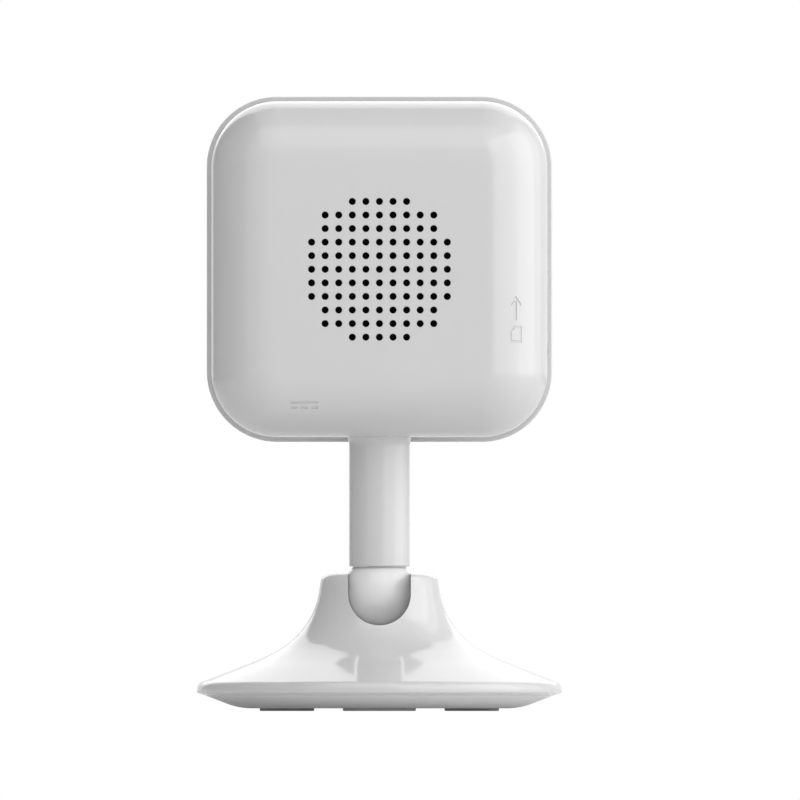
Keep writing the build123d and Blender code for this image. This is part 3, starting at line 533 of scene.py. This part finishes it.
# %% [markdown]
# The base is a bell: a flat flange that sweeps up into a waist and a neck. A moulder would core it out
# from below, so the outline goes up the outside and down the inside, where the top is a ring of a hollow
# sphere that holds the ball. The slot that lets the stem fold back is cut through the rear as a round-
# bottomed notch.

# %% outline of the bell
dome_low, dome_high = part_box("base_dome")
rim = dome_high.x
rim_bottom = 3.1 * mm
rim_top = 4.7 * mm
lip = 29.8 * mm
neck_top = dome_high.z
neck_wall = 2 * mm
ceiling = neck_top - neck_wall
swing_gap = 0.15 * mm
socket = ball + swing_gap
flange_end = (22 * mm, 8.25 * mm)
slow_radius = 39 * mm
slow_turn = radians(7.1)
tight_radius = 14.15 * mm
tight_turn = radians(53.3)
neck_bore = 8.2 * mm
# Radius and height in mm, from the neck's bore down to the lip
hollow = [(8.2, 16.2), (11.4, 13), (16.7, 8.5), (21.3, 6.4), (28.5, 3.6), (28.5, 3.2), (29.8, 3.2)]

uphill = pi - atan2(flange_end[1] - rim_top, rim - flange_end[0])
slow, lean = arc(flange_end, uphill, slow_radius, slow_turn, 6)
tight, lean = arc(slow[-1], lean, tight_radius, tight_turn, 36)
neck = tight[-1][0] + (neck_top - tight[-1][1]) / tan(lean)
brow = asin((neck_top - pivot) / socket)
cup_turn = brow - asin((ceiling - pivot) / socket)
cup, _ = arc((socket * cos(brow), neck_top), brow - pi / 2, socket, cup_turn, 8)
print("neck radius in mm:", round(neck / mm, 2))

# %% bell-shaped base
lip_round = 0.1 * mm
rim_under_round = 0.2 * mm
rim_round = 0.95 * mm
neck_round = 1.5 * mm
mouth_round = 0.12 * mm
notch_radius = 5.35 * mm
notch_round = 0.999 * notch_radius  # a hair less, so that the two rounded corners don't meet
notch_end = 40 * mm
notch_top = neck_top + 5 * mm
bell = lathe([(lip, dome_low.z, lip_round), (rim, rim_bottom, rim_under_round), (rim, rim_top, rim_round),
              (*flange_end, 0), *slow, *tight, (neck, neck_top, neck_round),
              (socket * cos(brow), neck_top, mouth_round), *cup, (neck_bore, ceiling, 0),
              *((radius * mm, height * mm, 0) for radius, height in hollow)], steps=192, segments=10)
base = object_from(bell, "base_bell")
notch = block((-notch_radius, 0, pivot - notch_radius), (notch_radius, notch_end, notch_top))
round_edges(notch, lambda a, b: max(a.z, b.z) < pivot and abs(a.y - b.y) > mm, notch_round, 32)
cut(base, notch)
finish_piece(base, "base", "base_shell", "base_dome")

# %% [markdown]
# Three rubber pads sit in recesses under the base. Each is a short arc with round ends, punched from
# sheet and pressed, so its lower edge is soft. The outline is drawn once as points, filled, drawn up to
# its thickness and rounded below. The dish that closes the bell keeps its CAD mesh, because only a thin
# crescent of it shows.

# %% rubber pads
pads_low, pads_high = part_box("base_pads")
pad_count = 3
pad_middle = 18.5 * mm
pad_half = 3.1 * mm
pad_reach = radians(9.8)
pad_round = 0.22 * mm
end_steps = 16
side_steps = 4


def on_ring(radius, angle):
    """A point round the upright axis, at the pads' lower face."""
    return Vector((radius * cos(angle), radius * sin(angle), pads_low.z))


pads = bmesh.new()
for pad in range(pad_count):
    turn = pi / 2 + pad * 2 * pi / pad_count
    points = []
    for end in (1, -1):
        tip = turn + end * pad_reach
        swing = [tip + (0 if end > 0 else pi) + pi * step / end_steps for step in range(end_steps + 1)]
        tip_middle = on_ring(pad_middle, tip)
        points += [tip_middle + pad_half * Vector((cos(angle), sin(angle), 0)) for angle in swing]
        along = [turn + end * pad_reach * (1 - step / side_steps) for step in range(1, 2 * side_steps)]
        points += [on_ring(pad_middle - end * pad_half, angle) for angle in along]
    face = pads.faces.new([pads.verts.new(point) for point in points])
    raised = bmesh.ops.extrude_face_region(pads, geom=[face])["geom"]
    bmesh.ops.translate(pads, verts=[item for item in raised if isinstance(item, bmesh.types.BMVert)],
                        vec=(0, 0, pads_high.z - pads_low.z))
bmesh.ops.recalc_face_normals(pads, faces=pads.faces)
soft_edges = round_edges(pads, lambda a, b: max(a.z, b.z) < pads_low.z + hair, pad_round, 4)
print("soft pad edges:", soft_edges)
finish_piece(object_from(pads, "soft_pads"), "base", "pads", "base_pads", sharp=50)

# %% [markdown]
# Now the finishes. Moulded plastic is never one flat colour: the resin flows a little unevenly, the
# polish of the tool varies, and the skin has a faint ripple. One shared group gives all of that from a
# few named inputs, and every plastic piece uses it with its own values.

# %% helpers for nodes
COLOUR, VALUE, VECTOR = "NodeSocketColor", "NodeSocketFloat", "NodeSocketVector"


def shared_group(name, inputs, outputs):
    """A shader group with named inputs and outputs, and its two end nodes."""
    group = bpy.data.node_groups.new(name, "ShaderNodeTree")
    for label, kind, value in inputs:
        socket = group.interface.new_socket(name=label, in_out="INPUT", socket_type=kind)
        socket.default_value = value
    for label, kind in outputs:
        group.interface.new_socket(name=label, in_out="OUTPUT", socket_type=kind)
    return group, group.nodes.new("NodeGroupInput"), group.nodes.new("NodeGroupOutput")


def node(tree, kind, links, **settings):
    """Adds a node, sets its properties, and links or sets its inputs by name or number."""
    made = tree.nodes.new(kind)
    for key, value in settings.items():
        setattr(made, key, value)
    for key, value in links.items():
        if isinstance(value, bpy.types.NodeSocket):
            tree.links.new(value, made.inputs[key])
        else:
            made.inputs[key].default_value = value
    return made


# %% shared surface group
skin, given, result = shared_group(
    "moulded_skin",
    [("Colour", COLOUR, (0.8, 0.8, 0.8, 1)), ("Mottle", VALUE, 0.03), ("Roughness", VALUE, 0.2),
     ("Roughness Change", VALUE, 0.05), ("Grain Scale", VALUE, 900.0), ("Ripple", VALUE, 0.05),
     ("Ripple Height", VALUE, 0.02 * mm), ("Edge Round", VALUE, 0.15 * mm)],
    [("Colour", COLOUR), ("Roughness", VALUE), ("Normal", VECTOR)])
wanted = given.outputs
place = node(skin, "ShaderNodeTexCoord", {}).outputs["Object"]
flow = node(skin, "ShaderNodeTexNoise", {"Vector": place, "Scale": 60.0, "Detail": 3.0}).outputs["Fac"]
grain = node(skin, "ShaderNodeTexNoise",
             {"Vector": place, "Scale": wanted["Grain Scale"], "Detail": 2.0}).outputs["Fac"]
sway = node(skin, "ShaderNodeMath", {0: flow, 1: 0.5}, operation="SUBTRACT").outputs[0]
shade = node(skin, "ShaderNodeMath", {0: sway, 1: wanted["Mottle"], 2: 1.0},
             operation="MULTIPLY_ADD").outputs[0]
tinted = node(skin, "ShaderNodeVectorMath", {0: wanted["Colour"], "Scale": shade},
              operation="SCALE").outputs[0]
polish = node(skin, "ShaderNodeMath", {0: grain, 1: wanted["Roughness Change"], 2: wanted["Roughness"]},
              operation="MULTIPLY_ADD").outputs[0]
eased = node(skin, "ShaderNodeBevel", {"Radius": wanted["Edge Round"]}, samples=4).outputs["Normal"]
ripple = node(skin, "ShaderNodeBump", {"Strength": wanted["Ripple"], "Distance": wanted["Ripple Height"],
                                       "Height": grain, "Normal": eased}).outputs["Normal"]
for label, socket_made in (("Colour", tinted), ("Roughness", polish), ("Normal", ripple)):
    skin.links.new(socket_made, result.inputs[label])


# %% plastic from the group
def new_finish(name):
    """A new material, its node tree and its main surface node."""
    material = bpy.data.materials.new(name)
    material.use_nodes = True
    return material, material.node_tree, material.node_tree.nodes["Principled BSDF"]


def plastic(name, colour, roughness, mottle=0.04, change=0.06, grain=900.0, ripple=0.05,
            height=0.02 * mm, edge=0.12 * mm, **constants):
    """A finish made of the shared group, with its own values and a few fixed sockets."""
    material, tree, surface = new_finish(name)
    use = node(tree, "ShaderNodeGroup", {}, node_tree=skin)
    for label, value in (("Colour", (*colour, 1)), ("Mottle", mottle), ("Roughness", roughness),
                         ("Roughness Change", change), ("Grain Scale", grain), ("Ripple", ripple),
                         ("Ripple Height", height), ("Edge Round", edge)):
        use.inputs[label].default_value = value
    for label, entry in (("Colour", "Base Color"), ("Roughness", "Roughness"), ("Normal", "Normal")):
        tree.links.new(use.outputs[label], surface.inputs[entry])
    for entry, value in constants.items():
        surface.inputs[entry.replace("_", " ")].default_value = value
    return material


def grey(level):
    """A colour without any hue."""
    return (level, level, level)


# %% [markdown]
# Most pieces differ only in the numbers they give to that group, so their finishes come from one table.
# After the colour come roughness, mottle, change of roughness, grain and ripple. White parts are
# polished; the underside and the pads are fine-textured; the inner pieces are duller.

# %% finishes from a table
white = grey(0.62)
finishes = {
    "head_shell": plastic("glossy white, head", white, 0.10, IOR=1.58),
    "head_bezel": plastic("glossy white, bezel", white, 0.10, IOR=1.58),
    "base_shell": plastic("glossy white, base", white, 0.08, IOR=1.58),
    "stem": plastic("glossy white, stem", white, 0.09, IOR=1.58),
    # Same white plastic as the shells; the lighter colour is painted light against the shade in the slot.
    "knuckle": plastic("white knuckle, lightened as painted light", grey(0.77), 0.16),
    # The satin finish is real; the colour, lighter than the shells, is painted light for the shade below.
    "underside": plastic("satin white underside, lightened as painted light", grey(0.76), 0.38, grain=3000, ripple=0.3),
    "button": plastic("pale grey, button", grey(0.55), 0.3),
    "pads": plastic("pale rubber, pads", grey(0.58), 0.6, 0.1, 0.15, 2500, 0.4),
    "black_plastic": plastic("black plastic", (0.018, 0.018, 0.019), 0.35, 0.3, 0.15, 2200, 0.2),
    "black_rubber": plastic("black rubber", grey(0.02), 0.65, 0.4, 0.2, 3000, 0.4),
    "inner_grey": plastic("inner grey", (0.18, 0.18, 0.19), 0.4, 0.15, 0.15, 1800, 0.2),
    "chip": plastic("chip black", (0.025, 0.025, 0.027), 0.4, 0.3, 0.2, 4000, 0.3),
    "thermal_pad": plastic("thermal pad", (0.32, 0.42, 0.55), 0.7, 0.2, 0.2, 3000, 0.4),
    "led": plastic("lamp resin", (0.75, 0.68, 0.42), 0.15, 0.2, 0.1, 1500, 0.1, Transmission_Weight=0.3),
    "speaker_cone": plastic("cone paper", (0.06, 0.06, 0.062), 0.75, 0.5, 0.2, 3500, 0.5),
    "magnet": plastic("nickel magnet", (0.55, 0.54, 0.52), 0.22, 0.1, 0.15, 1500, 0.1, Metallic=1.0),
    "steel": plastic("steel", (0.52, 0.52, 0.53), 0.25, 0.12, 0.2, 2500, 0.15, Metallic=1.0),
    "aluminium": plastic("aluminium", (0.70, 0.71, 0.72), 0.32, 0.1, 0.2, 2500, 0.2, Metallic=1.0),
    "copper": plastic("copper wire", (0.72, 0.36, 0.20), 0.3, 0.2, 0.2, 2500, 0.3, Metallic=1.0),
    "board": plastic("green board", (0.02, 0.14, 0.06), 0.3, 0.5, 0.15, 1500, 0.2),
}
print("finishes from the table:", len(finishes))

# %% [markdown]
# Glass is different: light goes through it. The window is smoked, so its colour is a grey that each
# passing ray takes on. The lenses carry a thin coating that throws back a violet sheen.


# %% glass finishes
def glass(name, colour, roughness, ior, tint):
    """Clear or smoked glass whose polish varies with faint smears."""
    material, tree, surface = new_finish(name)
    place = node(tree, "ShaderNodeTexCoord", {}).outputs["Object"]
    smears = node(tree, "ShaderNodeTexNoise", {"Vector": place, "Scale": 120.0, "Detail": 4.0}).outputs["Fac"]
    polish = node(tree, "ShaderNodeMapRange", {"Value": smears, "To Min": roughness, "To Max": roughness * 3})
    tree.links.new(polish.outputs[0], surface.inputs["Roughness"])
    surface.inputs["Base Color"].default_value = (*colour, 1)
    surface.inputs["Transmission Weight"].default_value = 1.0
    surface.inputs["IOR"].default_value = ior
    surface.inputs["Specular Tint"].default_value = (*tint, 1)
    return material


finishes["window"] = glass("smoked acrylic", (0.52, 0.52, 0.53), 0.01, 1.49, (1, 1, 1))
finishes["lens_glass"] = glass("coated lens", (0.92, 0.93, 0.95), 0.01, 1.60, (0.7, 0.5, 1.0))

# %% [markdown]
# Every CAD piece has a material slot by name in the record, and takes the finish of that name. The pieces
# that were modelled here follow the slots of those they stand for. The cloth and the ink have finishes of
# their own.

# %% dress every piece
slot_of = {part["node"]: part["material_slot"] for part in frame["record"]["subparts"]}
for name, made in frame["nodes"].items():
    made.material_slots[0].material = finishes[slot_of[name]]
same_as = {"rear_cover_shell": "head_shell", "front_bezel_shell": "head_bezel", "smoked_window": "window",
           "stem_tube": "stem", "tilt_knuckle_ball": "knuckle", "base_bell": "base_shell",
           "soft_pads": "pads"}
dress = {name: finishes[slot] for name, slot in same_as.items()}
# Near black: partly the cloth's own dark weave, partly painted shade for the inside of the holes.
dress["grille_cloth"] = plastic("woven cloth with painted hole shade", grey(0.008), 0.9, 0.5, 0.1, 4000, 0.5, Specular_IOR_Level=0.1)
dress["window_ink"] = plastic("black ink", (0.004, 0.004, 0.0045), 0.6, 0.2, 0.1, 1500, 0.0,
                              Specular_IOR_Level=0.05)
for name, finish in dress.items():
    made = bpy.data.objects[name]
    made.data.materials.clear()
    made.data.materials.append(finish)
print("pieces dressed:", len(frame["nodes"]) + len(dress))

# %% [markdown]
# The photo is a plain catalogue view: straight at the back, on white, with a large soft light on the
# right and a darker room on the left. The camera is set without perspective because the picture shows
# none.

# %% camera
view_width = 136.75 * mm
view_middle_x = -3.52 * mm
view_middle_z = 53.16 * mm
view_distance = 0.6
lens = bpy.data.cameras.new("catalogue_view")
lens.type = "ORTHO"
lens.ortho_scale = view_width
lens.clip_end = 10
camera = bpy.data.objects.new("catalogue_view", lens)
camera.location = (view_middle_x, view_distance, view_middle_z)
camera.rotation_euler = (pi / 2, 0, pi)
bpy.context.scene.collection.objects.link(camera)
bpy.context.scene.camera = camera
print("camera looks at x and z in mm:", view_middle_x / mm, view_middle_z / mm)

# %% [markdown]
# A soft box is a large glowing rectangle. Its size sets how soft a shadow is, and its brightness shows in
# the gloss, so the boxes are given by their place, size and brightness, and the watts follow. One wide
# box stands on the right with a narrower one behind it, one hangs over the top edge, and one shines from
# the far side. The two fills light only the dull part of a surface, so they leave no mirror image.

# %% soft boxes
middle = Vector((0, 0, 0.055))


def around(turn, rise, reach):
    """A place round the object: turn goes from the back view to its right, rise goes up."""
    turn, rise = radians(turn), radians(rise)
    level = reach * cos(rise)
    return Vector((-level * sin(turn), level * cos(turn), middle.z + reach * sin(rise)))


def softbox(name, place, width, height, brightness):
    """A glowing rectangle, aimed at the object; its watts make it as bright as a surface of that value."""
    lamp = bpy.data.lights.new(name, "AREA")
    lamp.shape = "RECTANGLE"
    lamp.size = width
    lamp.size_y = height
    lamp.energy = brightness * pi * width * height
    made = bpy.data.objects.new(name, lamp)
    made.location = place
    made.rotation_euler = (middle - place).to_track_quat("-Z", "Y").to_euler()
    made.visible_camera = False
    bpy.context.scene.collection.objects.link(made)
    return made


softbox("right softbox", around(58, 6, 0.6), 1.16, 1.2, 1.25)
softbox("side softbox", around(92, 6, 0.6), 0.75, 1.2, 0.8)
softbox("far softbox", around(180, 32.5, 0.8), 0.8, 0.7, 0.95)
softbox("top softbox", around(0, 52, 0.7), 0.7, 0.55, 0.8)
front_fill = softbox("front fill", around(-30, 4, 1.0), 1.0, 0.8, 0.66)
top_fill = softbox("top fill", around(0, 60, 0.9), 0.8, 0.5, 0.9)
for fill in (front_fill, top_fill):
    fill.visible_glossy = False
print("lamps:", len(bpy.data.lights))

# %% [markdown]
# A grey card on the left keeps that side of the gloss darker. The floor is a plain pale plane, a hair
# under the pads. Is Glossy Ray makes it a little brighter where it is only seen in the gloss, so that no
# hard horizon shows in the rounded edges, and the shadow under the object stays.

# %% card and floor
card_half = 0.36
card_place = (0.30, -0.125, 0.37)
floor_half = 1.5
floor_gap = 0.02 * mm
floor_glow = 0.06
floor_glow_in_gloss = 0.2


def plane(name, half, colour):
    """A flat square of the stage, with a dull finish."""
    shape = bmesh.new()
    bmesh.ops.create_grid(shape, x_segments=1, y_segments=1, size=half)
    made = object_from(shape, name)
    material, tree, surface = new_finish(name)
    surface.inputs["Base Color"].default_value = (*colour, 1)
    surface.inputs["Roughness"].default_value = 0.9
    made.data.materials.append(material)
    return made, tree, surface


grey_card, _, _ = plane("grey_card", card_half, grey(0.42))
grey_card.data.transform(Matrix.Translation(card_place) @ Matrix.Rotation(pi / 2, 4, "Y"))
grey_card.visible_camera = False

ground, tree, surface = plane("pale_floor", floor_half, grey(0.86))
ground.data.transform(Matrix.Translation((0, 0, -floor_gap)))
path = tree.nodes.new("ShaderNodeLightPath")
glow = node(tree, "ShaderNodeMapRange", {"Value": path.outputs["Is Glossy Ray"], "To Min": floor_glow,
                                         "To Max": floor_glow_in_gloss})
surface.inputs["Emission Color"].default_value = (1, 1, 1, 1)
tree.links.new(glow.outputs[0], surface.inputs["Emission Strength"])
print("floor glow:", floor_glow, "and in gloss", floor_glow_in_gloss)

# %% [markdown]
# The background is the world, pure white for the camera and for what gloss and glass show of it, and much
# dimmer as a light, so that the soft boxes model the shape.

# %% white background
room_light = 0.15
world = bpy.data.worlds.new("studio")
bpy.context.scene.world = world
world.use_nodes = True
tree = world.node_tree
path = tree.nodes.new("ShaderNodeLightPath")
seen = path.outputs["Is Camera Ray"]
for kind in ("Is Glossy Ray", "Is Transmission Ray"):
    seen = node(tree, "ShaderNodeMath", {0: seen, 1: path.outputs[kind]}, operation="MAXIMUM").outputs[0]
level = node(tree, "ShaderNodeMapRange", {"Value": seen, "To Min": room_light, "To Max": 1.0})
sky = tree.nodes["Background"]
sky.inputs["Color"].default_value = (1, 1, 1, 1)
tree.links.new(level.outputs[0], sky.inputs["Strength"])
bpy.context.scene.view_settings.view_transform = "Standard"
print("room light:", room_light)
